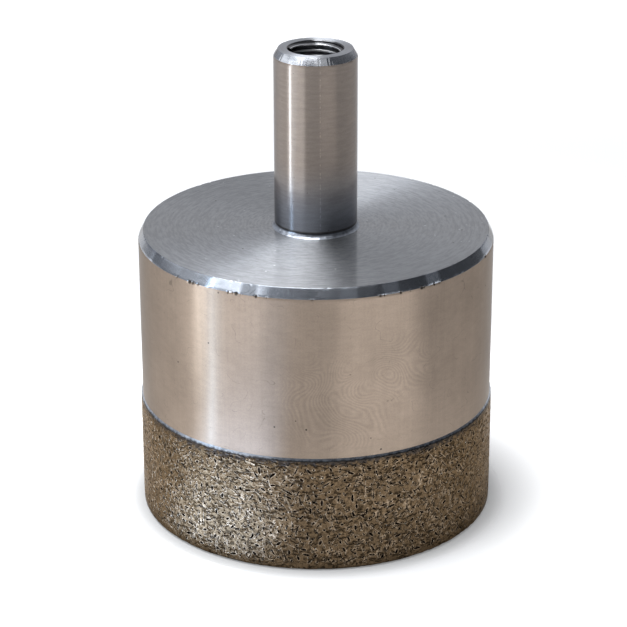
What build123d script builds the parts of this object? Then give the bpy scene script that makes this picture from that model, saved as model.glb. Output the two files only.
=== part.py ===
# Diamond core bit: a turned steel cup with a brazed-in shank and a brazed-on diamond crown
# It stands on its crown, with the cutting face on z = 0 and the shank pointing up

import os
from math import radians, tan

from build123d import *

os.makedirs("parts", exist_ok=True)

# Shank: a straight ground shaft, bored for the cooling water and threaded at its free end
shank_diameter = 20.0
shank_stand_out = 44.25  # above the barrel's flat top
shank_chamfer_width = 1.1
shank_chamfer_height = 1.7
shank_seat_relief = 0.25  # the seat in the head is turned this much under the ground shank
thread_mouth_diameter = 13.6
thread_minor_diameter = 11.45  # a G 1/4 pipe thread is tapped into this bore
thread_bore_depth = 18.0
drill_point_angle = 118.0
water_bore_diameter = 8.0
water_bore_chamfer = 0.5  # where the bore opens into the cup

# Barrel: a cup turned from one piece of bar, its thick head up and its wall down
barrel_diameter = 86.0
barrel_height = 42.65
barrel_wall = 4.0
barrel_chamfer_width = 1.25
barrel_chamfer_height = 2.4
head_thickness = 12.0
head_inner_fillet = 3.0

# Diamond crown: a sintered ring, a little thicker than the barrel's wall on both sides
crown_height = 28.5
crown_outer_step = 0.5
crown_inner_step = 0.5
rim_round = 0.6  # on the outer edge of the cutting face
rim_inner_chamfer = 0.4

# Braze: the film in each joint, and the fillet outside it, drawn straight across the corner
crown_braze_gap = 0.1
crown_braze_rise = 0.55
shank_braze_gap = 0.1
shank_braze_width = 0.85
shank_braze_rise = 1.3
shank_braze_clearance = 0.05  # from the fillet's top to the ground shank

# Levels on the axis, from the cutting face up
joint_level = crown_height + crown_braze_gap
top_level = joint_level + barrel_height
head_inner_level = top_level - head_thickness
shank_braze_top = top_level + shank_braze_rise
ground_shank_level = shank_braze_top + shank_braze_clearance
shank_end_level = top_level + shank_stand_out
thread_end_level = shank_end_level - thread_bore_depth

# Radii that the pieces share
shank_radius = shank_diameter / 2
shank_seat_radius = shank_radius - shank_seat_relief
head_bore_radius = shank_seat_radius + shank_braze_gap
barrel_radius = barrel_diameter / 2
barrel_inner_radius = barrel_radius - barrel_wall
crown_radius = barrel_radius + crown_outer_step
crown_inner_radius = barrel_inner_radius - crown_inner_step

# Shank, with the cone of the drill's point between its two bores
thread_radius = thread_minor_diameter / 2
mouth_radius = thread_mouth_diameter / 2
water_radius = water_bore_diameter / 2
drill_point_height = (thread_radius - water_radius) / tan(radians(drill_point_angle / 2))

with BuildPart() as shank:
    with BuildSketch(Plane.XZ):
        with BuildLine():
            Polyline(
                (water_radius, head_inner_level),
                (shank_seat_radius, head_inner_level),
                (shank_seat_radius, ground_shank_level),
                (shank_radius, ground_shank_level),
                (shank_radius, shank_end_level - shank_chamfer_height),
                (shank_radius - shank_chamfer_width, shank_end_level),
                (mouth_radius, shank_end_level),
                (thread_radius, shank_end_level - (mouth_radius - thread_radius)),
                (thread_radius, thread_end_level),
                (water_radius, thread_end_level - drill_point_height),
                close=True,
            )
        make_face()
    revolve(axis=Axis.Z)
    inner_end = shank.faces().sort_by(Axis.Z)[0]
    chamfer(inner_end.inner_wires()[0].edges(), length=water_bore_chamfer)

shank.part.label = "shank"
export_step(shank.part, "parts/shank.step")

# Barrel
with BuildPart() as barrel:
    with BuildSketch(Plane.XZ):
        with BuildLine():
            Polyline(
                (head_bore_radius, top_level),
                (barrel_radius - barrel_chamfer_width, top_level),
                (barrel_radius, top_level - barrel_chamfer_height),
                (barrel_radius, joint_level),
                (barrel_inner_radius, joint_level),
                (barrel_inner_radius, head_inner_level),
                (head_bore_radius, head_inner_level),
                close=True,
            )
        make_face()
    revolve(axis=Axis.Z)
    head_inner_face = barrel.faces().filter_by(Plane.XY).group_by(Axis.Z)[1][0]
    fillet(head_inner_face.outer_wire().edges(), radius=head_inner_fillet)

barrel.part.label = "barrel"
export_step(barrel.part, "parts/barrel.step")

# Diamond crown
with BuildPart() as diamond_crown:
    with BuildSketch(Plane.XY):
        Circle(crown_radius)
        Circle(crown_inner_radius, mode=Mode.SUBTRACT)
    extrude(amount=crown_height)
    cutting_face = diamond_crown.faces().sort_by(Axis.Z)[0]
    fillet(cutting_face.outer_wire().edges(), radius=rim_round)
    cutting_face = diamond_crown.faces().sort_by(Axis.Z)[0]
    chamfer(cutting_face.inner_wires()[0].edges(), length=rim_inner_chamfer)

diamond_crown.part.label = "diamond_crown"
export_step(diamond_crown.part, "parts/diamond_crown.step")

# Braze between the crown and the barrel's mouth, with a fillet on the outer and inner step
braze_top = joint_level + crown_braze_rise

with BuildPart() as crown_braze:
    with BuildSketch(Plane.XZ):
        with BuildLine():
            Polyline(
                (crown_inner_radius, crown_height),
                (crown_radius, crown_height),
                (barrel_radius, braze_top),
                (barrel_radius, joint_level),
                (barrel_inner_radius, joint_level),
                (barrel_inner_radius, braze_top),
                close=True,
            )
        make_face()
    revolve(axis=Axis.Z)

crown_braze.part.label = "crown_braze"
export_step(crown_braze.part, "parts/crown_braze.step")

# Braze round the shank, with a fillet where the shank leaves the head
with BuildPart() as shank_braze:
    with BuildSketch(Plane.XZ):
        with BuildLine():
            Polyline(
                (shank_seat_radius + shank_braze_width, top_level),
                (shank_seat_radius, shank_braze_top),
                (shank_seat_radius, head_inner_level),
                (head_bore_radius, head_inner_level),
                (head_bore_radius, top_level),
                close=True,
            )
        make_face()
    revolve(axis=Axis.Z)

shank_braze.part.label = "shank_braze"
export_step(shank_braze.part, "parts/shank_braze.step")
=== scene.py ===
from math import cos, pi, radians, sin, tan, tau

import bpy
import numpy as np
from mathutils import Matrix, Vector
from mathutils.geometry import delaunay_2d_cdt


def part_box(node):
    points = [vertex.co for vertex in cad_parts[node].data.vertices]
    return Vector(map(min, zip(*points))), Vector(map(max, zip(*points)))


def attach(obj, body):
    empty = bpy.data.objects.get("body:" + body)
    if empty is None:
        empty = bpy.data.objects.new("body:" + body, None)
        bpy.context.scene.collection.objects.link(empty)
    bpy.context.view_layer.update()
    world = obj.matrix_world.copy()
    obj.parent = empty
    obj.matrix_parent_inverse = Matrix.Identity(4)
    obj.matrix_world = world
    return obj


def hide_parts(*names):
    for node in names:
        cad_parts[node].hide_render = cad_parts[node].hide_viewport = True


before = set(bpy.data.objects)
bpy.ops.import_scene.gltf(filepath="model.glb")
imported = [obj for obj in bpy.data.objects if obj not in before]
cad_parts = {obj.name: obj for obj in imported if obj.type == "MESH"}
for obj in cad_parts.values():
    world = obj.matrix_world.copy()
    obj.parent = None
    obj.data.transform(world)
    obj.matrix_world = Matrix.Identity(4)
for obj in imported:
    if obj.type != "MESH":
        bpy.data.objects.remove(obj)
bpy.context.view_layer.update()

mm = 0.001  # the script counts in millimetres and Blender in metres


def boxOf(node):  # radius, lowest and highest level of a round CAD node
    low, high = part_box(node)
    return high.x / mm, low.z / mm, high.z / mm


crownRadius, floorLevel, crownTop = boxOf("diamond_crown")
barrelRadius, barrelEnd, headTop = boxOf("barrel")
shankRadius, shankFoot, shankTop = boxOf("shank")
print("frame: crown", crownRadius, "barrel", barrelRadius, "shank", shankRadius)


# node helpers, the same for shader and geometry trees

def setSocket(socket, value):
    if isinstance(value, bpy.types.NodeSocket):
        socket.id_data.links.new(value, socket)
    else:
        socket.default_value = value


def setInputs(node, values):
    for key, value in values.items():
        setSocket(node.inputs[key], value)


def addNode(tree, kind, inputs=None, **settings):
    made = tree.nodes.new(kind)
    for key, value in settings.items():
        setattr(made, key, value)
    setInputs(made, inputs or {})
    return made


def treeOf(*values):  # the tree that holds the first socket among the values
    return next(value.id_data for value in values if isinstance(value, bpy.types.NodeSocket))


def calc(operation, *values):
    return addNode(treeOf(*values), "ShaderNodeMath", dict(enumerate(values)), operation=operation).outputs[0]


def times(first, *others):
    for other in others:
        first = calc("MULTIPLY", first, other)
    return first


def plus(first, *others):
    for other in others:
        first = calc("ADD", first, other)
    return first


def minus(first, second):
    return calc("SUBTRACT", first, second)


def vectorCalc(operation, *values, scale=None):
    inputs = dict(enumerate(values)) if scale is None else {0: values[0], "Scale": scale}
    made = addNode(treeOf(*inputs.values()), "ShaderNodeVectorMath", inputs, operation=operation)
    return made.outputs["Value" if operation in ("LENGTH", "DOT_PRODUCT") else "Vector"]


def remap(value, fromLow, fromHigh, toLow=0.0, toHigh=1.0):
    inputs = {0: value, 1: fromLow, 2: fromHigh, 3: toLow, 4: toHigh}
    return addNode(treeOf(value), "ShaderNodeMapRange", inputs, interpolation_type="SMOOTHSTEP").outputs[0]


def mixColor(factor, first, second, blend="MIX"):
    made = addNode(treeOf(factor, first, second), "ShaderNodeMix", data_type="RGBA", blend_type=blend)
    setInputs(made, {0: factor, 6: first, 7: second})
    return made.outputs[2]


def mixValue(factor, first, second):
    inputs = {0: factor, 2: first, 3: second}
    return addNode(treeOf(factor), "ShaderNodeMix", inputs, data_type="FLOAT").outputs[0]


def joined(*parts):  # one vector from up to three numbers
    return addNode(treeOf(*parts), "ShaderNodeCombineXYZ", dict(enumerate(parts))).outputs[0]


def splitUp(vector):
    return addNode(treeOf(vector), "ShaderNodeSeparateXYZ", {0: vector}).outputs


def toned(color, tone):  # brightens or darkens a colour
    return mixColor(1.0, color, joined(tone, tone, tone), "MULTIPLY")


def noiseOf(place, scale, detail=2.0, rough=0.5):  # scale in features per millimetre
    inputs = {"Vector": place, "Scale": scale, "Detail": detail, "Roughness": rough}
    return addNode(treeOf(place), "ShaderNodeTexNoise", inputs).outputs


def grain(*settings):
    return noiseOf(*settings)[0]


def cells(place, scale):
    return addNode(treeOf(place), "ShaderNodeTexVoronoi", {"Vector": place, "Scale": scale}).outputs


def stretch(place, scale):  # scales a pattern differently along each axis
    return addNode(treeOf(place), "ShaderNodeMapping", {"Vector": place, "Scale": scale}).outputs[0]


def specks(place, scale, size, share):  # small round marks, one in some of the cells
    dots = cells(place, scale)
    red = addNode(treeOf(place), "ShaderNodeSeparateColor", {0: dots["Color"]}).outputs[0]
    return times(remap(dots["Distance"], size * 0.5, size, 1.0, 0.0), calc("LESS_THAN", red, share))


def hairlines(place, scale, width, above):  # thin curved scratches where a second noise is high
    line = remap(calc("ABSOLUTE", minus(grain(place, scale, 1.0), 0.5)), 0.0, width, 1.0, 0.0)
    moved = vectorCalc("ADD", place, (31.0, 17.0, 5.0))
    return times(line, remap(grain(moved, 0.25, 2.0), above, above + 0.03))


def newMaterial(name, metal, roughness=0.5):
    material = bpy.data.materials.new(name)
    material.use_nodes = True
    tree = material.node_tree
    tree.nodes.clear()
    output = tree.nodes.new("ShaderNodeOutputMaterial")
    shader = addNode(tree, "ShaderNodeBsdfPrincipled", {"Metallic": metal, "Roughness": roughness})
    tree.links.new(shader.outputs[0], output.inputs[0])
    metres = tree.nodes.new("ShaderNodeTexCoord").outputs["Object"]
    return material, shader, vectorCalc("SCALE", metres, scale=1 / mm)


def roundPlace(place):  # distance from the axis, height, and unit direction away from the axis
    x, y, height = splitUp(place)
    flat = joined(x, y)
    return vectorCalc("LENGTH", flat), height, vectorCalc("NORMALIZE", flat)


def brushRound(shader, outward, amount):  # marks that run round the axis spread the gloss across them
    along = vectorCalc("CROSS_PRODUCT", (0.0, 0.0, 1.0), outward)
    normal = shader.id_data.nodes.new("ShaderNodeNewGeometry").outputs["Normal"]
    setInputs(shader, {"Tangent": vectorCalc("CROSS_PRODUCT", normal, along), "Anisotropic": amount})


def bumpOf(height, depth):  # depth in millimetres
    inputs = {"Height": height, "Distance": depth * mm, "Strength": 1.0}
    return addNode(treeOf(height), "ShaderNodeBump", inputs).outputs[0]


def marked(shader, name):  # a value that a mesh carries at each of its points
    return addNode(shader.id_data, "ShaderNodeAttribute", attribute_name=name).outputs["Fac"]


# object and mesh helpers

def newObject(name, data):
    made = bpy.data.objects.new(name, data)
    bpy.context.scene.collection.objects.link(made)
    return made


def placePiece(name, mesh, nodes=()):
    piece = newObject(name, mesh)
    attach(piece, "root")
    if nodes:
        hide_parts(*nodes)
    mesh.calc_loop_triangles()
    print("piece:", name, len(mesh.loop_triangles), "triangles")
    return piece


def makePiece(name, points, faces, material, nodes=(), sharpAngle=35, attributes=None):
    mesh = bpy.data.meshes.new(name)
    mesh.from_pydata(points, [], faces)
    mesh.shade_smooth()
    mesh.set_sharp_from_angle(angle=radians(sharpAngle))
    for key, values in (attributes or {}).items():
        mesh.attributes.new(key, "FLOAT", "POINT").data.foreach_set("value", values)
    mesh.materials.append(material)
    return placePiece(name, mesh, nodes)


def roundCorner(before, corner, after, radius):  # a true arc in place of a sharp corner
    before, corner, after = (np.array(p, float) for p in (before, corner, after))
    first = (before - corner) / np.linalg.norm(before - corner)
    second = (after - corner) / np.linalg.norm(after - corner)
    half = np.arccos(np.clip(first @ second, -1, 1)) / 2
    middle = corner + (first + second) / np.linalg.norm(first + second) * radius / sin(half)
    start = corner + first * radius / tan(half) - middle
    end = corner + second * radius / tan(half) - middle
    sweep = pi - 2 * half
    count = max(3, int(sweep * radius / 0.3))
    parts = [i / count for i in range(count + 1)]
    return [middle + (start * sin((1 - t) * sweep) + end * sin(t * sweep)) / sin(sweep) for t in parts]


def fillLine(start, end, spacing):  # points between two ends, closer together next to the ends
    long = np.linalg.norm(end - start)
    count = max(1, int(round(long / spacing)))
    parts = [i / count for i in range(1, count)]
    if 2.0 < long and spacing < 50:
        parts = [0.25 / long, 0.6 / long] + parts + [1 - 0.6 / long, 1 - 0.25 / long]
    return [start + (end - start) * part for part in parts]


def roundedSection(corners, rounds, spacing):  # closed section and, for each point, the corner it belongs to
    count = len(corners)
    arcs = [roundCorner(corners[i - 1], corners[i], corners[(i + 1) % count], rounds[i])
            for i in range(count)]
    section, owners = [], []
    for i in range(count):
        fill = fillLine(arcs[i][-1], arcs[(i + 1) % count][0], spacing)
        section += arcs[i] + fill
        owners += [i] * len(arcs[i]) + [-1] * len(fill)
    return np.array(section), np.array(owners)


def stepAngles(steps):  # counted from the back of the bit
    return pi / 2 + np.arange(steps) * tau / steps


def turnPoints(radius, height, angle):
    points = np.stack((radius * np.cos(angle), radius * np.sin(angle), height), -1)
    return (points.reshape(-1, 3) * mm).tolist()


def ringFaces(rows, steps):  # quads between the rows of a closed section turned round the axis
    row, step = np.meshgrid(np.arange(rows), np.arange(steps), indexing="ij")
    nextRow, nextStep = (row + 1) % rows, (step + 1) % steps
    corners = (row * steps + step, row * steps + nextStep, nextRow * steps + nextStep, nextRow * steps + step)
    return np.stack(corners, -1).reshape(-1, 4).tolist()


def turnSection(section, steps, shape=None):  # the section runs with its metal on the left
    angle = stepAngles(steps)
    radius = np.repeat(section[:, :1], steps, 1)
    height = np.repeat(section[:, 1:], steps, 1)
    if shape is not None:
        radius, height = shape(radius, height, angle)
    return turnPoints(radius, height, angle[None, :]), ringFaces(len(section), steps)


def waves(angle, seed, slowest, fastest):  # smooth closed unevenness round a ring, from -1 to 1
    pick = np.random.default_rng(seed)
    total = np.zeros_like(angle)
    for count in range(slowest, fastest + 1):
        total += pick.normal() * np.cos(count * angle + pick.uniform(0, tau))
    return total / np.abs(total).max()


def dents(angle, seed, count, width, depth):  # small knocks round an edge
    pick = np.random.default_rng(seed)
    total = np.zeros_like(angle)
    for _ in range(count):
        apart = np.abs((angle - pick.uniform(0, tau) + pi) % tau - pi)
        wide = width * pick.uniform(0.5, 1.5)
        total = np.maximum(total, depth * pick.uniform(0.3, 1.0) * np.clip(1 - (apart / wide) ** 2, 0, 1))
    return total


def facets(angle, seed, count):  # uneven flats round a bevel, each with its own slant
    pick = np.random.default_rng(seed)
    edges = np.sort((np.arange(count) + pick.uniform(-0.35, 0.35, count)) * tau / count % tau)
    slants = pick.uniform(-1, 1, count)
    at = np.concatenate((edges - 0.012, edges + 0.012))
    value = np.concatenate((np.roll(slants, 1), slants))
    order = np.argsort(at)
    return np.interp(angle % tau, at[order], value[order], period=tau)


# camera and stage

view = {
    "place": (-0.636, -531.7, 265.4),  # from the middle of the cutting face
    "tilt": 22.239,  # degrees down
    "roll": -0.147,
    "lens": 134.16,
}
camera = newObject("camera", bpy.data.cameras.new("camera"))
camera.data.lens = view["lens"]
camera.data.clip_start, camera.data.clip_end = 0.01, 50
turn = Matrix.Rotation(radians(90 - view["tilt"]), 4, "X") @ Matrix.Rotation(radians(view["roll"]), 4, "Z")
camera.matrix_world = Matrix.Translation(Vector(view["place"]) * mm) @ turn
bpy.context.scene.camera = camera
bpy.context.scene.view_settings.view_transform = "Standard"

studio = {
    "floorSize": 14.0,  # metres
    "floorColor": (0.86, 0.86, 0.86, 1.0),
    "floorGlow": (0.22, 0.56, 0.07, 0.34),  # the floor's glow, painted light, next to the bit and at three rings further out
    "sky": (0.10, 0.105, 0.115, 1.0),
    "skyGlows": (  # direction, how close to it the glow starts, and its colour
        ((0.0, 1.0, 0.3), 0.55, (0.36, 0.368, 0.39, 1.0)),
        ((-1.0, 0.0, 0.5), 0.3, (0.36, 0.38, 0.42, 1.0)),
        ((0.1, 0.8, 0.9), 0.5, (0.38, 0.388, 0.405, 1.0)),
    ),
}
plainPool = {"color": (1.0, 1.0, 1.0, 1.0), "apex": (0.0, 0.0, 0.0)}
pools = {  # pools of painted light: brighter glowing parts of the floor, in millimetres and degrees, from a point near the axis
    "left": {"azimuth": -95, "full": 10, "outer": 50, "reach": (180, 260, 420, 520), "glow": 0.50},
    "right": {"azimuth": 36, "full": 12, "outer": 31, "reach": (95, 130, 205, 240), "glow": 1.70},
    "front": {"azimuth": -56, "full": 21, "outer": 31, "reach": (190, 240, 420, 480), "glow": 2.05},
    "crownSide": {"azimuth": -42, "full": 6, "outer": 30, "reach": (46, 54, 66, 84), "glow": 7.8,
                  "color": (0.64, 0.92, 1.42, 1.0)},
    "nearStreak": {"azimuth": -69, "full": 1.4, "outer": 3.2, "reach": (40, 80, 190, 230), "glow": 6.0,
                   "color": (0.42, 0.68, 1.0, 1.0), "apex": (-18.0, -28.0, 0.0)},
    "farStreak": {"azimuth": -73.5, "full": 1.6, "outer": 3.0, "reach": (236, 258, 430, 500), "glow": 17.0,
                  "color": (0.80, 0.90, 1.0, 1.0)},
}


def makeStage():
    half = studio["floorSize"] / 2
    mesh = bpy.data.meshes.new("floor")
    corners = [(-half, -half, 0), (half, -half, 0), (half, half, 0), (-half, half, 0)]
    mesh.from_pydata(corners, [], [(0, 1, 2, 3)])
    floor = newObject("floor", mesh)
    material, shader, place = newMaterial("paleFloor", 0.0, 0.9)
    near, ring, middle, far = studio["floorGlow"]
    away = vectorCalc("LENGTH", place)
    shade = remap(away, 43.3, 49.0, 0.55, 1.0)  # painted contact shadow: the floor colour is darker where the bit touches
    level = mixValue(remap(away, 42, 66), near, ring)
    level = mixValue(remap(away, 88, 125), level, middle)
    level = mixValue(remap(away, 280, 450), level, far)
    glow = toned((1, 1, 1, 1), level)
    for pool in pools.values():
        pool = {**plainPool, **pool}
        turned = radians(pool["azimuth"])
        fromApex = vectorCalc("SUBTRACT", place, pool["apex"])
        reach = vectorCalc("LENGTH", fromApex)
        nearness = vectorCalc("DOT_PRODUCT", vectorCalc("NORMALIZE", fromApex),
                              (sin(turned), -cos(turned), 0.0))
        amount = remap(nearness, cos(radians(pool["outer"])), cos(radians(pool["full"])), 0.0, pool["glow"])
        amount = times(amount, remap(reach, *pool["reach"][:2]), remap(reach, *pool["reach"][2:], 1.0, 0.0))
        glow = mixColor(1.0, glow, toned(pool["color"], amount), "ADD")
    setInputs(shader, {"Base Color": toned(studio["floorColor"], shade), "Specular IOR Level": 0.0,
                       "Emission Color": glow, "Emission Strength": 1.0})
    mesh.materials.append(material)


def makeWorld():
    world = bpy.data.worlds.new("studio")
    world.use_nodes = True
    tree = world.node_tree
    way = tree.nodes.new("ShaderNodeTexCoord").outputs["Generated"]
    sky = studio["sky"]
    for direction, start, color in studio["skyGlows"]:
        nearness = vectorCalc("DOT_PRODUCT", way, tuple(Vector(direction).normalized()))
        sky = mixColor(1.0, sky, mixColor(remap(nearness, start, 1.0), (0, 0, 0, 1), color), "ADD")
    seen = tree.nodes.new("ShaderNodeLightPath").outputs["Is Camera Ray"]
    setInputs(tree.nodes["Background"], {"Color": mixColor(seen, sky, (1.0, 1.0, 1.0, 1.0))})
    bpy.context.scene.world = world


lamps = {  # azimuth is seen from above and counted from the camera's side, negative to its left
    "keyStrip": {"azimuth": -69, "height": 9, "distance": 0.9, "size": (0.050, 0.38), "glow": 14.0,
                 "color": (0.62, 0.80, 1.0)},
    "leftSoft": {"azimuth": -60, "height": 31, "size": (0.80, 0.42), "glow": 1.45,
                 "color": (0.94, 0.97, 1.0)},
    "sideSoft": {"azimuth": -99, "height": 25, "size": (0.58, 0.40), "glow": 1.15,
                 "color": (0.97, 0.985, 1.0)},
    "rightSoft": {"azimuth": 22, "height": 50, "size": (0.56, 0.28), "glow": 0.85,
                  "color": (0.98, 0.99, 1.0)},
    "topSoft": {"azimuth": -85, "height": 72, "size": (0.76, 0.76), "glow": 4.6,
                "color": (0.97, 0.985, 1.0)},
    "frontSoft": {"azimuth": -20, "height": 76, "size": (0.36, 0.36), "glow": 4.5,
                  "color": (0.98, 0.99, 1.0)},
}


def makeLamp(name, lamp):
    azimuth, height = radians(lamp["azimuth"]), radians(lamp["height"])
    away = Vector((sin(azimuth) * cos(height), -cos(azimuth) * cos(height), sin(height)))
    data = bpy.data.lights.new(name, "AREA")
    data.shape = "RECTANGLE"
    data.size, data.size_y = lamp["size"]
    data.energy = lamp["glow"] * pi * data.size * data.size_y
    data.color = lamp["color"]
    made = newObject(name, data)
    made.location = away * lamp.get("distance", 1.0) + Vector((0, 0, 0.06))
    made.rotation_euler = (-away).to_track_quat("-Z", "Y").to_euler()


makeStage()
makeWorld()
for lampName, lamp in lamps.items():
    makeLamp(lampName, lamp)
print("stage: floor, world and", len(lamps), "lamps")


# barrel: a turned cup with concentric marks on its head and fine swirls on its side; its head is painted blue-grey
# and its side tan as painted reflections

barrel = {
    "chamferWidth": 1.25, "chamferHeight": 2.4, "wall": 4.0, "headThickness": 12.0, "innerFillet": 3.0,
    "boreRadius": 9.85, "steps": 900, "footRound": 0.12, "rimRound": 0.20,
    "facetCount": 66, "facetSlant": 0.05,
    "sideReflectionColor": (0.295, 0.232, 0.182, 1.0), "headReflectionColor": (0.33, 0.338, 0.355, 1.0),
    "chamferReflectionColor": (0.43, 0.455, 0.50, 1.0), "pitAndShadeColor": (0.05, 0.042, 0.036, 1.0),
    "sideRough": 0.36, "headRough": 0.47, "chamferRough": 0.19, "brushed": 0.95, "markDepth": 0.006,
    "gloss": {"Coat Roughness": 0.11, "Coat IOR": 2.0, "Specular Tint": (0.62, 0.60, 0.58, 1.0)},
    "swirls": ((4, 43, 15), (27, 50, 11), (14, 38, 9), (118, 46, 13), (170, 52, 9), (-140, 44, 14)),
}


def ringMarks(radius, outward, across, along):  # marks that are long round the axis and fine across it
    level = joined(0.0, 0.0, times(radius, across))
    return vectorCalc("ADD", level, vectorCalc("SCALE", outward, scale=along))


def makeBarrelSteel():
    material, shader, place = newMaterial("barrelSteel", 1.0)
    radius, height, outward = roundPlace(place)
    onHead = calc("GREATER_THAN", height, headTop - 0.04)
    aboveSide = calc("GREATER_THAN", height, headTop - barrel["chamferHeight"] - 0.02)
    onChamfer = minus(aboveSide, onHead)

    # swirls: contour lines of a soft noise, shown only in patches
    swirl = calc("SINE", times(grain(place, 0.065, 1.0), 260.0))
    shown = 0.0
    for azimuth, level, reach in barrel["swirls"]:
        middle = (barrelRadius * sin(radians(azimuth)), -barrelRadius * cos(radians(azimuth)), level)
        away = vectorCalc("LENGTH", vectorCalc("SUBTRACT", place, middle))
        shown = calc("MAXIMUM", shown, remap(away, reach * 0.45, reach, 1.0, 0.0))
    swirl = times(swirl, shown, minus(1.0, aboveSide))
    headMarks = grain(ringMarks(radius, outward, 1.0, 1.6), 1.4, 5.0, 0.62)
    ripples = times(grain(ringMarks(radius, outward, 1.15, 7.0), 1.4, 3.0, 0.6), onHead)
    rings = calc("SINE", times(radius, tau / 0.85))
    rings = times(rings, onHead, remap(radius, 11.0, 19.0, 1.0, 0.15))
    broad = grain(place, 0.06, 3.0, 0.6)
    sideMarks = grain(stretch(place, (0.35, 0.35, 0.9)), 1.0, 4.0, 0.6)
    marks = mixValue(onHead, sideMarks, headMarks)
    fine = grain(place, 3.4, 3.0, 0.6)
    streaks = grain(stretch(place, (0.9, 0.9, 0.03)), 1.0, 3.0, 0.6)
    scratch = hairlines(place, 0.15, 0.0042, 0.52)
    pits = specks(place, 0.40, 0.12, 0.10)
    # painted glints: small spots painted brighter, strongly on the head and faintly on the side
    paintedHighlight = specks(vectorCalc("ADD", place, (3.7, 9.1, 5.3)), 0.50, 0.15, 0.10)

    # painted reflections: the side is painted tan for the reflection of a tan floor, the head and chamfer blue-grey
    # for the reflection of the surroundings above
    color = mixColor(aboveSide, barrel["sideReflectionColor"], barrel["headReflectionColor"])
    color = mixColor(onChamfer, color, barrel["chamferReflectionColor"])
    tone = plus(remap(marks, 0.25, 0.75, 0.95, 1.05), times(swirl, 0.065))
    # painted reflection: each chamfer facet is painted lighter or darker by its slant
    tone = times(tone, remap(fine, 0.2, 0.8, 0.92, 1.08), remap(streaks, 0.3, 0.7, 0.97, 1.03),
                 mixValue(onChamfer, 1.0, remap(marked(shader, "facet"), -1.0, 1.0, 0.50, 1.22)))
    tone = times(minus(tone, times(scratch, 0.30)),
                 mixValue(onHead, 1.0, remap(ripples, 0.35, 0.65, 0.88, 1.11)),
                 mixValue(onHead, remap(broad, 0.3, 0.7, 0.92, 1.07), 1.0))
    tone = plus(tone, times(rings, 0.05), times(paintedHighlight, mixValue(onHead, 0.05, 0.9)))
    color = mixColor(pits, toned(color, tone), barrel["pitAndShadeColor"])
    # painted shade: the knocks at the chamfer's foot are painted dark
    color = mixColor(remap(marked(shader, "nick"), 0.35, 0.9), color, barrel["pitAndShadeColor"])

    rough = mixValue(onHead, barrel["sideRough"], barrel["headRough"])
    rough = mixValue(onChamfer, rough, barrel["chamferRough"])
    relief = plus(times(marks, mixValue(onHead, 1.0, 7.0)), times(ripples, 18.0), times(swirl, 0.10))
    relief = plus(minus(relief, times(pits, 2.0)), times(paintedHighlight, 2.0))
    setInputs(shader, {
        "Base Color": color, "Roughness": plus(rough, remap(fine, 0.2, 0.8, -0.02, 0.02)),
        "Normal": bumpOf(relief, barrel["markDepth"]), "Coat Weight": mixValue(onHead, 0.04, 0.50),
        **barrel["gloss"]})
    brushRound(shader, outward, barrel["brushed"])
    return material


def makeBarrel():
    outer, bore = barrelRadius, barrel["boreRadius"]
    inner, under = outer - barrel["wall"], headTop - barrel["headThickness"]
    flatEdge, chamferFoot = outer - barrel["chamferWidth"], headTop - barrel["chamferHeight"]
    corners = [(outer, barrelEnd), (outer, chamferFoot), (flatEdge, headTop), (bore, headTop),
               (bore, under), (inner, under), (inner, barrelEnd)]
    section, owners = roundedSection(corners, [0.14, barrel["footRound"], barrel["rimRound"], 0.05, 0.05,
                                               barrel["innerFillet"], 0.05], 3.0)
    angle = stepAngles(barrel["steps"])
    knocks = dents(angle, 5, 64, 0.011, 0.24)
    isFoot = (owners == 1)[:, None]
    fromFoot = np.linalg.norm(section - np.array((outer, chamferFoot)), axis=1)[:, None]
    nearFoot = np.clip(1.15 - fromFoot / 0.65, 0, 1)
    slant = facets(angle, 12, barrel["facetCount"])
    values = {"facet": np.repeat(slant[None, :], len(section), 0).ravel(),
              "nick": (nearFoot * knocks / 0.16).ravel()}

    def wear(radius, height, angle):
        rim = (owners == 2)[:, None]
        footKnocks = knocks + 0.02 * (waves(angle, 3, 20, 60) + 1)
        rimKnocks = dents(angle, 6, 20, 0.012, 0.14) + 0.015 * (waves(angle, 4, 20, 60) + 1)
        radius = radius - isFoot * (footKnocks + barrel["facetSlant"] * (slant + 1)) - rim * rimKnocks
        height = height - rim * rimKnocks * 0.4
        return radius, height

    points, faces = turnSection(section, barrel["steps"], wear)
    makePiece("barrelCup", points, faces, makeBarrelSteel(), ["barrel"], attributes=values)


makeBarrel()


# shank: ground shaft, painted blue-grey towards its foot as a painted reflection of the head, with a tapped water
# inlet

shank = {
    "seatRadius": 9.75, "groundLevel": 1.35, "chamferWidth": 1.1, "chamferHeight": 1.7,
    "mouthRadius": 6.8, "minorRadius": 5.725, "majorRadius": 6.58, "threadDepth": 15.0,
    "boreDepth": 18.0, "waterRadius": 4.0, "pointAngle": 59.0, "steps": 360, "edgeRound": 0.09,
    "facetCount": 14, "facetSlant": 0.04, "sideReflectionColor": (0.192, 0.153, 0.125, 1.0),
    "footReflectionColor": (0.172, 0.182, 0.205, 1.0), "endReflectionColor": (0.46, 0.475, 0.505, 1.0),
    "crestHighlightColor": (0.66, 0.66, 0.67, 1.0), "rootShadeColor": (0.10, 0.10, 0.105, 1.0),
    "sideRough": 0.33, "endRough": 0.42, "chamferRough": 0.19, "brushed": 0.97, "markDepth": 0.005,
    "gloss": {"Coat Weight": 0.46, "Coat Roughness": 0.12, "Coat IOR": 1.8,
              "Specular Tint": (0.48, 0.46, 0.45, 1.0)},
}


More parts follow.
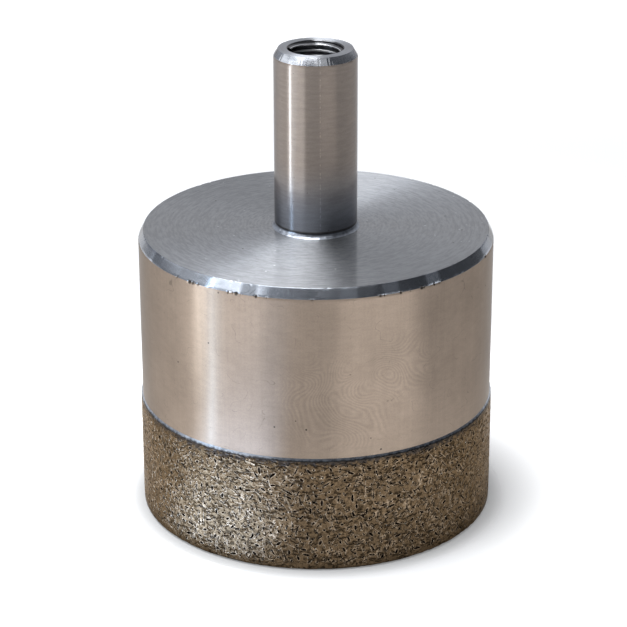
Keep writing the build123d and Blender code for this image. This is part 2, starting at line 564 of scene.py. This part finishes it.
def makeShankSteel():
    material, shader, place = newMaterial("shankSteel", 1.0)
    radius, height, outward = roundPlace(place)
    onEnd = calc("GREATER_THAN", height, shankTop - shank["chamferHeight"] - 0.02)
    inBore = calc("LESS_THAN", radius, shank["mouthRadius"] + 0.02)
    inRoots = remap(radius, 6.0, 6.2)
    # painted reflection: the side is painted tan like the barrel's side, and blue-grey towards the foot for the
    # reflection of the head
    footReflection = remap(height, headTop + 4.0, headTop + 19.0, 1.0, 0.0)
    # painted shade: a dark line on the shaft just above the braze bead
    footShadeLine = remap(height, headTop + 1.42, headTop + 1.85, 0.92, 0.0)
    sideMarks = grain(stretch(place, (0.30, 0.30, 1.6)), 1.0, 4.0, 0.6)
    endMarks = grain(ringMarks(radius, outward, 2.5, 1.6), 1.6, 4.0, 0.6)
    marks = mixValue(onEnd, sideMarks, endMarks)
    fine = grain(place, 3.6, 3.0, 0.6)
    pits = specks(place, 0.35, 0.05, 0.35)

    color = mixColor(footReflection, shank["sideReflectionColor"], shank["footReflectionColor"])
    color = mixColor(footShadeLine, color, barrel["pitAndShadeColor"])
    # painted reflection: the end and its chamfer are painted blue-grey
    color = mixColor(onEnd, color, shank["endReflectionColor"])
    # painted light in the bore: thread crests are painted light as a painted highlight and the roots dark as painted
    # shade
    color = mixColor(inBore, color, mixColor(inRoots, shank["crestHighlightColor"], shank["rootShadeColor"]))
    # one fine scratch runs down the front
    offset = calc("ABSOLUTE", vectorCalc("DOT_PRODUCT", outward, (0.9945, 0.1045, 0.0)))
    dotted = remap(grain(stretch(place, (0.1, 0.1, 1.4)), 1.0, 2.0), 0.45, 0.60)
    tone = plus(times(remap(marks, 0.25, 0.75, 0.90, 1.10), remap(fine, 0.2, 0.8, 0.92, 1.08)),
                times(remap(offset, 0.0, 0.016, 0.7, 0.0), dotted))
    rough = mixValue(onEnd, shank["sideRough"], shank["chamferRough"])
    rough = mixValue(calc("GREATER_THAN", height, shankTop - 0.05), rough, shank["endRough"])
    setInputs(shader, {
        "Base Color": mixColor(pits, toned(color, tone), barrel["pitAndShadeColor"]),
        "Roughness": plus(rough, remap(fine, 0.2, 0.8, -0.02, 0.02)),
        "Normal": bumpOf(minus(marks, pits), shank["markDepth"]), **shank["gloss"]})
    brushRound(shader, outward, shank["brushed"])
    return material


def makeShank(steel):
    seat, ground, outer = shank["seatRadius"], headTop + shank["groundLevel"], shankRadius
    mouth, major = shank["mouthRadius"], shank["majorRadius"]
    minor, water = shank["minorRadius"], shank["waterRadius"]
    threadEnd, boreEnd = shankTop - shank["threadDepth"], shankTop - shank["boreDepth"]
    pointEnd = boreEnd - (minor - water) / tan(radians(shank["pointAngle"]))
    ease = shank["edgeRound"]
    corners = [(seat, shankFoot), (seat, ground), (outer, ground), (outer, shankTop - shank["chamferHeight"]),
               (outer - shank["chamferWidth"], shankTop), (mouth, shankTop), (major, shankTop - mouth + major),
               (major, threadEnd), (minor, threadEnd - 0.8), (minor, boreEnd), (water, pointEnd),
               (water, shankFoot + 0.5), (water + 0.5, shankFoot)]
    rounds = [0.05, 0.02, 0.03, ease, ease, 0.06, 0.02, 0.05, 0.05, 0.05, 0.05, 0.03, 0.03]
    section, owners = roundedSection(corners, rounds, 2.5)

    def wear(radius, height, angle):
        foot, rim = (owners == 3)[:, None], (owners == 4)[:, None]
        slant = facets(angle, 21, shank["facetCount"])
        radius = radius - foot * (dents(angle, 15, 22, 0.02, 0.10) + shank["facetSlant"] * (slant + 1))
        height = height - rim * dents(angle, 16, 8, 0.03, 0.12)
        return radius, height

    points, faces = turnSection(section, shank["steps"], wear)
    makePiece("shankShaft", points, faces, steel, ["shank"])


shankSteel = makeShankSteel()
makeShank(shankSteel)


# inlet thread: one ridge that follows a helix, cut back where the mouth is countersunk

thread = {"pitch": 1.337, "crest": 5.92, "root": 6.62, "start": 0.75, "length": 14.0, "perTurn": 96,
          "steepness": 1.9}  # of the countersink, width over depth


def shaped(tree, kind, inputs, **settings):
    return addNode(tree, "GeometryNode" + kind, inputs, **settings).outputs[0]


def newTree(name, values):  # with a named input for each value
    tree = bpy.data.node_groups.new(name, "GeometryNodeTree")
    kinds = {"Geometry": "Geometry"}
    for label, value in values.items():
        kinds[label] = {int: "Int", float: "Float"}.get(type(value), "Material")
    for label, kind in kinds.items():
        tree.interface.new_socket(name=label, in_out="INPUT", socket_type="NodeSocket" + kind)
    tree.interface.new_socket(name="Geometry", in_out="OUTPUT", socket_type="NodeSocketGeometry")
    return tree, tree.nodes.new("NodeGroupInput").outputs


def runTree(tree, given, geometry, values, mesh):  # evaluates the tree once and keeps a plain mesh
    whole = shaped(tree, "RealizeInstances", {0: geometry})
    whole = shaped(tree, "SetMaterial", {"Geometry": whole, "Material": given["Material"]})
    addNode(tree, "NodeGroupOutput", {0: whole})
    holder = newObject(tree.name + "Maker", mesh)
    modifier = holder.modifiers.new(tree.name, "NODES")
    modifier.node_group = tree
    for item in tree.interface.items_tree:
        if item.in_out == "INPUT" and item.name in values:
            modifier[item.identifier] = values[item.name]
    evaluated = holder.evaluated_get(bpy.context.evaluated_depsgraph_get())
    made = bpy.data.meshes.new_from_object(evaluated)
    holder.modifiers.remove(modifier)
    bpy.data.objects.remove(holder)
    made.name = tree.name
    placePiece(tree.name, made)


def makeThread(steel):
    values = {
        "Pitch": thread["pitch"] * mm, "Turns": thread["length"] / thread["pitch"],
        "Per Turn": thread["perTurn"], "Crest": thread["crest"] * mm, "Root": thread["root"] * mm,
        "Start Level": (shankTop - thread["start"]) * mm, "Mouth Radius": (shank["mouthRadius"] + 0.02) * mm,
        "Mouth Level": shankTop * mm, "Steepness": thread["steepness"], "Material": steel}
    tree, given = newTree("inletThread", values)
    length = times(given["Pitch"], given["Turns"])
    helix = shaped(tree, "CurveSpiral", {
        "Resolution": given["Per Turn"], "Rotations": given["Turns"], "Start Radius": given["Root"],
        "End Radius": given["Root"], "Height": length, "Reverse": True})
    helix = shaped(tree, "SetCurveNormal", {"Curve": helix}, mode="Z_UP")
    depth = minus(given["Root"], given["Crest"])

    def corner(inward, along):
        return joined(times(depth, inward), times(given["Pitch"], along))

    profile = shaped(tree, "CurvePrimitiveQuadrilateral", {
        "Point 1": corner(0.0, -0.40), "Point 2": corner(-1.0, -0.12), "Point 3": corner(-1.0, 0.12),
        "Point 4": corner(0.0, 0.40)}, mode="POINTS")
    ridge = shaped(tree, "CurveToMesh", {"Curve": helix, "Profile Curve": profile, "Fill Caps": True})
    drop = joined(0.0, 0.0, minus(given["Start Level"], length))
    ridge = shaped(tree, "Transform", {"Geometry": ridge, "Translation": drop})
    # the countersink pushes the first turns outwards to its own cone
    place = tree.nodes.new("GeometryNodeInputPosition").outputs[0]
    radius, height, _ = roundPlace(place)
    below = minus(given["Mouth Level"], height)
    cone = minus(given["Mouth Radius"], times(below, given["Steepness"]))
    pushed = calc("DIVIDE", calc("MAXIMUM", radius, cone), radius)
    moved = vectorCalc("MULTIPLY", place, joined(pushed, pushed, 1.0))
    ridge = shaped(tree, "SetPosition", {"Geometry": ridge, "Position": moved})
    ridge = shaped(tree, "SetShadeSmooth", {"Geometry": ridge, "Shade Smooth": False})
    runTree(tree, given, ridge, values, bpy.data.meshes.new("empty"))


makeThread(shankSteel)


# diamond crown: a sintered ring with short pits, most of them lined up with their neighbours

crown = {
    "outerRadius": 43.37, "innerRadius": 38.5, "faceLevel": 0.15, "rimRound": 0.6, "rimChamfer": 0.4,
    "steps": 720,
    "pitShare": 0.115,  # pits to the square millimetre, and strokeShare the same for the shallow ones
    "strokeShare": 0.25, "lip": 0.05, "patchSize": 5.0, "bondColor": (0.100, 0.068, 0.039, 1.0),
    "rimHighlightColor": (0.36, 0.28, 0.20, 1.0),
    "hollowShadeColor": (0.012, 0.008, 0.006, 1.0), "jointDarkColor": (0.030, 0.028, 0.028, 1.0), "roughness": 0.33,
    "glossTint": (0.70, 0.62, 0.54, 1.0), "markDepth": 0.12,
}
pitKinds = {  # share, length, width, depth, bend
    "dot": (0.26, (0.38, 0.62), (0.38, 0.62), (0.20, 0.34), 0.0),
    "dash": (0.56, (0.95, 1.90), (0.46, 0.62), (0.20, 0.36), 0.18),
    "groove": (0.18, (1.80, 3.20), (0.32, 0.42), (0.12, 0.20), 0.14),
}
strokeKinds = {
    "long": (0.60, (1.9, 4.2), (0.40, 0.54), (0.18, 0.30), 0.11),
    "short": (0.40, (0.8, 1.7), (0.36, 0.50), (0.16, 0.28), 0.16),
}


def makeBond(name, baseColor):
    material, shader, place = newMaterial(name, 1.0, crown["roughness"])
    _, height, outward = roundPlace(place)
    pit, paintedRim = marked(shader, "pit"), marked(shader, "paintedRim")
    # labyrinth: short ridges, parallel within a patch and turned another way in the next
    shift = vectorCalc("SUBTRACT", noiseOf(place, 0.55, 1.0)["Color"], (0.5, 0.5, 0.5))
    bent = vectorCalc("ADD", place, vectorCalc("SCALE", shift, scale=2.4))
    way = vectorCalc("SUBTRACT", cells(bent, 0.30)["Color"], (0.5, 0.5, 0.5))
    side = vectorCalc("SCALE", outward, scale=vectorCalc("DOT_PRODUCT", way, outward))
    way = vectorCalc("NORMALIZE", vectorCalc("SUBTRACT", way, side))
    wave = calc("SINE", times(vectorCalc("DOT_PRODUCT", bent, way), tau / 0.95))
    broken = remap(grain(place, 1.1, 2.0), 0.40, 0.56)
    raised = times(wave, broken)
    lines = times(remap(wave, -0.70, 0.05, 0.80, 0.0), broken)
    fine = grain(place, 1.9, 5.0, 0.75)
    broad = grain(place, 0.12, 3.0, 0.6)
    holes = specks(place, 0.75, 0.20, 0.30)
    sparks = specks(vectorCalc("ADD", place, (5.1, 2.3, 7.7)), 0.45, 0.10, 0.16)

    tone = times(minus(1.12, lines), remap(fine, 0.28, 0.72, 0.62, 1.38), remap(broad, 0.3, 0.7, 0.86, 1.14))
    # painted highlight: the raised rims round the pits and strokes are painted lighter
    color = toned(mixColor(times(paintedRim, 0.6), baseColor, crown["rimHighlightColor"]), tone)
    # painted shade: pit floors and small holes are painted near black, and so is the crown's lowest millimetre where
    # it meets the floor
    for hollow in (times(holes, 0.85), remap(pit, 0.2, 0.55), remap(height, 0.15, 0.9, 0.75, 0.0)):
        color = mixColor(hollow, color, crown["hollowShadeColor"])
    # the crown is darker in a ragged band just below the seam
    ragged = plus(height, remap(grain(place, 0.9, 2.0), 0.3, 0.7, -0.8, 0.8))
    darkBand = remap(ragged, crownTop - 1.5, crownTop - 0.4, 0.0, 0.8)
    relief = minus(plus(times(raised, 0.60), times(fine, 0.6)), times(holes, 2.2))
    setInputs(shader, {
        "Base Color": mixColor(darkBand, color, crown["jointDarkColor"]),
        "Normal": bumpOf(plus(relief, times(sparks, 2.5)), crown["markDepth"]),
        "Specular Tint": crown["glossTint"]})
    return material


def layPits(length, width, seed, share, kinds, clear, taken):
    # pits on a flat sheet: place, direction, size, depth, bend
    pick = np.random.default_rng(seed)
    patches = pick.uniform((0, 0), (length, width), (int(length * width / crown["patchSize"] ** 2) + 2, 2))
    turns, crowded = pick.uniform(0, pi, len(patches)), pick.uniform(0.15, 1.0, len(patches))
    pits = []
    shares = [kind[0] for kind in kinds.values()]

    def near(x, y, reach):
        column, row = int(x / 1.5), int(y / 1.5)
        for i in range(column - 1, column + 2):
            for j in range(row - 1, row + 2):
                for other in taken.get((i, j), ()):
                    if (other[0] - x) ** 2 + (other[1] - y) ** 2 < (other[2] + reach) ** 2:
                        return True
        return False

    for _ in range(int(length * width * 80 * share)):
        if len(pits) >= length * width * share:
            break
        x, y = pick.uniform(1.8, length - 1.8), pick.uniform(1.0, width - 1.0)
        patch = np.argmin(((patches - (x, y)) ** 2).sum(1))
        _, lengths, widths, depths, bend = list(kinds.values())[pick.choice(len(shares), p=shares)]
        size, wide = pick.uniform(*lengths), pick.uniform(*widths)
        size = max(size, wide)
        way = turns[patch] + pick.normal() * 0.18 + (pi / 2 if pick.uniform() < 0.15 else 0)
        curve = pick.normal() * bend
        if pick.uniform() > crowded[patch]:
            continue
        ends = []
        for along in np.linspace(-0.46, 0.46, max(3, int(size / 0.3))) * size:
            across = curve * (along**2 - size**2 / 8)
            ends.append((x + cos(way) * along - sin(way) * across, y + sin(way) * along + cos(way) * across))
        if min(e[1] for e in ends) < 0.9 or max(e[1] for e in ends) > width - 0.9:
            continue
        if any(near(ex, ey, wide / 2 + clear) for ex, ey in ends):
            continue
        for ex, ey in ends:
            taken.setdefault((int(ex / 1.5), int(ey / 1.5)), []).append((ex, ey, wide / 2))
        pits.append((x, y, way, size, wide, pick.uniform(*depths), curve))
    return pits


def pitRing(pit, grow, count, shift):  # points round a slightly bent oval
    x, y, way, size, wide, depth, bend = pit
    angle = (np.arange(count) + shift) * tau / count
    along = (size / 2 + grow) * np.cos(angle)
    across = (wide / 2 + grow) * np.sin(angle) + bend * (along**2 - size**2 / 8)
    return np.stack((x + cos(way) * along - sin(way) * across, y + sin(way) * along + cos(way) * across), -1)


def makeSheet(length, width, steps, seed, shares, lip):  # triangulates a sheet round its pits
    taken = {}
    pits = layPits(length, width, seed, shares[0], pitKinds, 0.50, taken)
    strokes = layPits(length, width, seed + 100, shares[1], strokeKinds, 0.36, taken)
    places, levels, hollow, paintedHighlight, edges = [], [], [], [], []

    def add(points, level, inPit=0.0, isRimHighlight=0.0):
        first = len(places)
        places.extend(points)
        levels.extend([level] * len(points))
        hollow.extend([inPit] * len(points))
        paintedHighlight.extend([isRimHighlight] * len(points))
        return first

    for side in (0.0, width):
        add([(length * i / steps, side) for i in range(steps + 1)], 0.0)
    seamCount = max(2, int(width))
    for end in (0.0, length):
        add([(end, width * j / seamCount) for j in range(1, seamCount)], 0.0)
    for pit in pits:
        size, wide = pit[3], pit[4]
        count = 8 if size < 0.7 else 12
        add(pitRing(pit, 0.24, count, 0.5).tolist(), 0.0)
        # the rings at the lip carry the painted rim highlight
        add(pitRing(pit, 0.09, count, 0.5).tolist(), lip, 0.0, 1.0)
        first = add(pitRing(pit, 0.0, count, 0.0).tolist(), lip * 0.6, 0.35, 0.6)
        edges += [(first + i, first + (i + 1) % count) for i in range(count)]
        add(pitRing(pit, -0.22 * wide, count // 2 + 2, 0.5).tolist(), -pit[5], 1.0)
    pick = np.random.default_rng(seed + 1)
    for stroke in strokes:
        count = 10 if stroke[3] > 1.8 else 8
        add(pitRing(stroke, 0.15, count, 0.5).tolist(), 0.0)
        first = add(pitRing(stroke, 0.0, count, 0.0).tolist(), lip * 1.2, 0.15, 1.0)
        edges += [(first + i, first + (i + 1) % count) for i in range(count)]
        add(pitRing(stroke, -0.26 * stroke[4], count // 2, 0.5).tolist(), -stroke[5], pick.uniform(0.5, 0.9))
    for x in np.arange(1.0, length - 0.9, 1.25):
        for y in np.arange(0.8, width - 0.7, 1.25):
            px, py = x + pick.uniform(-0.4, 0.4), y + pick.uniform(-0.3, 0.3)
            cell = (int(px / 1.5), int(py / 1.5))
            close = [o for i in (-1, 0, 1) for j in (-1, 0, 1)
                     for o in taken.get((cell[0] + i, cell[1] + j), ())]
            if all((o[0] - px) ** 2 + (o[1] - py) ** 2 > (o[2] + 0.45) ** 2 for o in close):
                add([(px, py)], pick.uniform(-0.04, 0.04))
    made = delaunay_2d_cdt([Vector(p) for p in places], edges, [], 0, 1e-6, True)
    return made, np.array(places), levels, (hollow, paintedHighlight), seamCount, len(pits) + len(strokes)


def makeCrown():
    steps = crown["steps"]
    outer, inner = crown["outerRadius"], crown["innerRadius"]
    face = floorLevel + crown["faceLevel"]
    corners = [(outer, face), (outer, crownTop), (inner, crownTop), (inner, face)]
    section, owners = roundedSection(corners, [crown["rimRound"], 0.12, 0.08, crown["rimChamfer"]], 100.0)
    angle = stepAngles(steps)
    radius = np.repeat(section[:, :1], steps, 1)
    height = np.repeat(section[:, 1:], steps, 1)
    chipped = np.zeros((len(section), 1))
    chipped[owners == 0, 0] = np.sin(np.linspace(0, pi, (owners == 0).sum()))
    chips = dents(angle, 31, 70, 0.02, 0.22) + 0.05 * (waves(angle, 33, 30, 120) + 1)
    radius = radius - chipped * chips - (owners == 1)[:, None] * 0.03 * (waves(angle, 35, 60, 180) + 1)
    height = height + chipped * chips * 0.5
    points = turnPoints(radius, height, angle[None, :])
    hollows, rimHighlights = [0.0] * len(points), [0.0] * len(points)
    faces = []

    def addRows(low, high):
        for i in range(steps):
            after = (i + 1) % steps
            faces.append((low * steps + i, low * steps + after, high * steps + after, high * steps + i))

    arcs = [np.nonzero(owners == i)[0] for i in range(4)]
    for rows in arcs:
        for row in range(rows[0], rows[-1]):
            addRows(row, row + 1)
    addRows(arcs[1][-1], arcs[2][0])  # the joint face, hidden under the braze
    total = 0
    for side, seed, shares, lip in ((0, 41, (crown["pitShare"], crown["strokeShare"]), crown["lip"]),
                                    (2, 43, (0.03, 0.0), 0.0), (3, 44, (0.10, 0.25), 0.0)):
        low, high = arcs[side][-1], arcs[(side + 1) % 4][0]
        start, end = section[low], section[high]
        width = float(np.linalg.norm(end - start))
        length = tau * (start[0] + end[0]) / 2
        made, places, levels, (hollow, paintedHighlight), seamCount, count = makeSheet(length, width, steps, seed, shares, lip)
        total += count
        along = (end - start) / width
        outwards = np.array((along[1], -along[0]))
        ids = {}
        for i in range(steps + 1):
            ids[i] = low * steps + i % steps
            ids[steps + 1 + i] = high * steps + i % steps
        lastSeam = 2 * (steps + 1) + seamCount - 1
        for i in range(2 * (steps + 1), len(places)):
            if lastSeam <= i < lastSeam + seamCount - 1:  # the sheet's two ends meet
                ids[i] = ids[i - seamCount + 1]
                continue
            r, z = start + along * places[i][1] + outwards * levels[i]
            turned = pi / 2 + places[i][0] / length * tau
            ids[i] = len(points)
            points.append((r * cos(turned) * mm, r * sin(turned) * mm, z * mm))
            hollows.append(hollow[i])
            rimHighlights.append(paintedHighlight[i])
        known = [ids[source[0]] for source in made[3]]
        faces += [tuple(known[v] for v in face) for face in made[2]]
    print("crown:", total, "pits")
    return makePiece("crownRing", points, faces, makeBond("bronzeBond", crown["bondColor"]),
                     ["diamond_crown"], sharpAngle=30, attributes={"pit": hollows, "paintedRim": rimHighlights})


crownRing = makeCrown()


# ridges between the pits, parallel within a patch, and diamond grains that stand a little out of the bond

ridges = {
    "spacing": 1.7, "seed": 7, "length": (1.0, 2.6), "width": (0.22, 0.32), "height": 0.06, "patch": 4.0,
    "margins": (2.0, 2.1),  # from the crown's lower and upper edge
    # lighter than the bond: painted highlight on the ridges
    "color": (0.20, 0.152, 0.105, 1.0),
}
grit = {"spacing": 3.1, "seed": 5, "radius": (0.14, 0.24), "standOut": 0.05, "color": (0.74, 0.70, 0.58, 1.0)}


def randomValue(tree, low, high, seed):
    return addNode(tree, "FunctionNodeRandomValue", {"Min": low, "Max": high, "Seed": seed}).outputs["Value"]


def carried(tree, name):  # a value that the crown's mesh carries
    made = addNode(tree, "GeometryNodeInputNamedAttribute", {"Name": name}, data_type="FLOAT")
    return made.outputs["Attribute"]


def surfaceFacts(tree):  # normal, height and how much the surface faces away from the axis
    place = tree.nodes.new("GeometryNodeInputPosition").outputs[0]
    normal = tree.nodes.new("GeometryNodeInputNormal").outputs[0]
    flat = vectorCalc("NORMALIZE", vectorCalc("MULTIPLY", place, (1.0, 1.0, 0.0)))
    return normal, splitUp(place)[2], vectorCalc("DOT_PRODUCT", normal, flat)


def scatter(tree, given, selection):  # points on the crown, no closer together than the spacing
    return addNode(tree, "GeometryNodeDistributePointsOnFaces", {
        "Mesh": given["Geometry"], "Selection": selection, "Distance Min": given["Spacing"],
        "Density Max": 3e6, "Seed": given["Seed"]}, distribute_method="POISSON").outputs


def alignTo(vector, axis, pivot="AUTO", **first):
    made = addNode(treeOf(vector), "FunctionNodeAlignRotationToVector", {"Vector": vector, **first},
                   axis=axis, pivot_axis=pivot)
    return made.outputs[0]


def makeRidges():
    values = {
        "Spacing": ridges["spacing"] * mm, "Seed": ridges["seed"], "Shortest": ridges["length"][0] * mm,
        "Longest": ridges["length"][1] * mm, "Thinnest": ridges["width"][0] * mm,
        "Widest": ridges["width"][1] * mm, "Height": ridges["height"] * mm, "Patch": ridges["patch"] * mm,
        "Low": (floorLevel + ridges["margins"][0]) * mm, "High": (crownTop - ridges["margins"][1]) * mm,
        "Material": makeBond("ridgeHighlightBond", ridges["color"])}
    tree, given = newTree("crownRidges", values)
    # one ridge, a unit long and wide, bent a little and thinner at its ends
    spine = shaped(tree, "CurveQuadraticBezier", {
        "Resolution": 6, "Start": (-0.5, 0, 0), "Middle": (0, 0.35, 0), "End": (0.5, 0, 0)})
    along = tree.nodes.new("GeometryNodeSplineParameter").outputs["Factor"]
    girth = calc("POWER", calc("SINE", remap(along, 0.0, 1.0, 0.12, pi - 0.12)), 0.6)
    ring = shaped(tree, "CurvePrimitiveCircle", {"Resolution": 6, "Radius": 0.5})
    unit = shaped(tree, "SetCurveRadius", {"Curve": spine, "Radius": girth})
    unit = shaped(tree, "CurveToMesh", {"Curve": unit, "Profile Curve": ring, "Fill Caps": True})
    # points on the outer wall, away from the pits
    _, height, outward = surfaceFacts(tree)
    spread = scatter(tree, given, times(
        calc("GREATER_THAN", outward, 0.8), calc("LESS_THAN", carried(tree, "paintedRim"), 0.30)))
    inside = times(calc("GREATER_THAN", height, given["Low"]), calc("LESS_THAN", height, given["High"]))
    # each patch has its own direction
    spot = tree.nodes.new("GeometryNodeInputPosition").outputs[0]
    bent = vectorCalc("ADD", spot, vectorCalc("SCALE", noiseOf(spot, 500.0, 1.0)["Color"], scale=0.002))
    patch = cells(bent, calc("DIVIDE", 1.0, given["Patch"]))["Color"]
    turned = plus(times(splitUp(patch)[0], tau), randomValue(tree, -0.2, 0.2, 3))
    face = vectorCalc("NORMALIZE", vectorCalc("MULTIPLY", spot, (1.0, 1.0, 0.0)))
    around = vectorCalc("CROSS_PRODUCT", (0.0, 0.0, 1.0), face)
    lift = joined(0.0, 0.0, calc("SINE", turned))
    way = vectorCalc("ADD", lift, vectorCalc("SCALE", around, scale=calc("COSINE", turned)))
    rotation = alignTo(way, "X", "Z", Rotation=alignTo(face, "Z"))
    size = joined(randomValue(tree, given["Shortest"], given["Longest"], 1),
                  randomValue(tree, given["Thinnest"], given["Widest"], 2), times(given["Height"], 2.0))
    laid = shaped(tree, "InstanceOnPoints", {
        "Points": spread["Points"], "Selection": inside, "Instance": unit,
        "Rotation": rotation, "Scale": size})
    runTree(tree, given, laid, values, crownRing.data)


def makeGrit():
    material, shader, place = newMaterial("diamondGrit", 0.0, 0.16)
    cloudy = remap(grain(place, 1.2, 2.0), 0.3, 0.7, 0.75, 1.1)
    setInputs(shader, {"Base Color": toned(grit["color"], cloudy), "IOR": 2.2})
    values = {
        "Spacing": grit["spacing"] * mm, "Seed": grit["seed"], "Smallest": grit["radius"][0] * mm,
        "Largest": grit["radius"][1] * mm, "Stand Out": grit["standOut"] * mm,
        "High": (crownTop - 1.0) * mm, "Material": material}
    tree, given = newTree("crownGrit", values)
    normal, height, outward = surfaceFacts(tree)
    showing = calc("MAXIMUM", calc("GREATER_THAN", outward, 0.8), calc("LESS_THAN", splitUp(normal)[2], -0.9))
    spread = scatter(tree, given, times(
        showing, calc("LESS_THAN", carried(tree, "pit"), 0.05), calc("LESS_THAN", height, given["High"])))
    radius = randomValue(tree, given["Smallest"], given["Largest"], 1)
    sunk = vectorCalc("SCALE", spread["Normal"], scale=minus(given["Stand Out"], radius))
    points = shaped(tree, "SetPosition", {"Geometry": spread["Points"], "Offset": sunk})
    crystal = shaped(tree, "MeshIcoSphere", {"Radius": 1.0, "Subdivisions": 1})
    rotation = addNode(tree, "FunctionNodeRandomValue", {"Min": (0, 0, 0), "Max": (tau, tau, tau), "Seed": 4},
                       data_type="FLOAT_VECTOR").outputs["Value"]
    laid = shaped(tree, "InstanceOnPoints", {
        "Points": points, "Instance": crystal, "Rotation": rotation, "Scale": radius})
    runTree(tree, given, laid, values, crownRing.data)


makeRidges()
makeGrit()


# braze: a bright bead at the shank's foot and a seam between barrel and crown

braze = {
    "shankWidth": 0.85, "shankRise": 1.3, "boreGap": 0.1, "crownRise": 0.55, "gap": 0.1,
    "color": (0.36, 0.385, 0.43, 1.0), "stainColor": (0.09, 0.095, 0.11, 1.0), "roughness": 0.30, "steps": 720,
}


def makeSilver():
    material, shader, place = newMaterial("silverBraze", 1.0, braze["roughness"])
    stain = grain(place, 0.8, 3.0, 0.6)
    fine = grain(place, 3.0, 2.0)
    height = splitUp(place)[2]
    # the seam is darker towards its lower edge, along a ragged line
    ragged = plus(height, remap(grain(place, 1.3, 2.0), 0.3, 0.7, -0.12, 0.12))
    darkBand = remap(ragged, crownTop + 0.05, crownTop + 0.42, 0.85, 0.0)
    color = mixColor(remap(stain, 0.40, 0.70, 0.0, 0.55), braze["color"], braze["stainColor"])
    color = mixColor(darkBand, color, crown["jointDarkColor"])
    # painted shade: a dark line along the top of the shank's bead, where it meets the shaft
    color = mixColor(remap(height, headTop + 0.80, headTop + 1.10, 0.0, 0.9), color, crown["jointDarkColor"])
    setInputs(shader, {"Base Color": color, "Normal": bumpOf(plus(stain, times(fine, 0.3)), 0.03)})
    return material


def makeBraze(silver):
    seat, foot = shank["seatRadius"], shankFoot
    low, high = headTop, headTop + braze["shankRise"]
    reach, free = seat + braze["shankWidth"], []
    for i in range(7):  # the bead's free surface is slightly hollow
        sag = 0.16 * sin(pi * i / 6)
        free.append((reach - (reach - seat) * i / 6 - sag * 0.8, low + (high - low) * i / 6 - sag * 0.55))
    bore = seat + braze["boreGap"]
    section = np.array([(bore, foot), (bore, low)] + free + [(seat, foot)])

    def beadWave(radius, height, angle):
        loose = np.zeros((len(section), 1))
        loose[2:9, 0] = np.sin(np.linspace(0.6, pi, 7))
        return radius + loose * 0.06 * (waves(angle, 51, 3, 40) - 1), height

    points, faces = turnSection(section, braze["steps"], beadWave)
    makePiece("shankBead", points, faces, silver, ["shank_braze"])

    outer, inner, wall = crown["outerRadius"] + 0.04, crown["innerRadius"], barrel["wall"]
    joint, top = crownTop + braze["gap"], crownTop + braze["gap"] + braze["crownRise"]
    section = [(inner, crownTop), (outer, crownTop)]
    for i in range(1, 6):
        section.append((outer + (barrelRadius - outer) * i / 5, crownTop + (top - crownTop) * i / 5))
    mouth = barrelRadius - wall
    section = np.array(section + [(barrelRadius, joint), (mouth, joint), (mouth, top)])

    def seamWave(radius, height, angle):
        loose = np.zeros((len(section), 1))
        loose[1:7, 0] = (1.0, 1.0, 0.8, 0.6, 0.4, 0.0)
        return radius - loose * 0.035 * (waves(angle, 61, 10, 140) + 1), height

    points, faces = turnSection(section, braze["steps"], seamWave)
    makePiece("crownSeam", points, faces, silver, ["crown_braze"])


makeBraze(makeSilver())
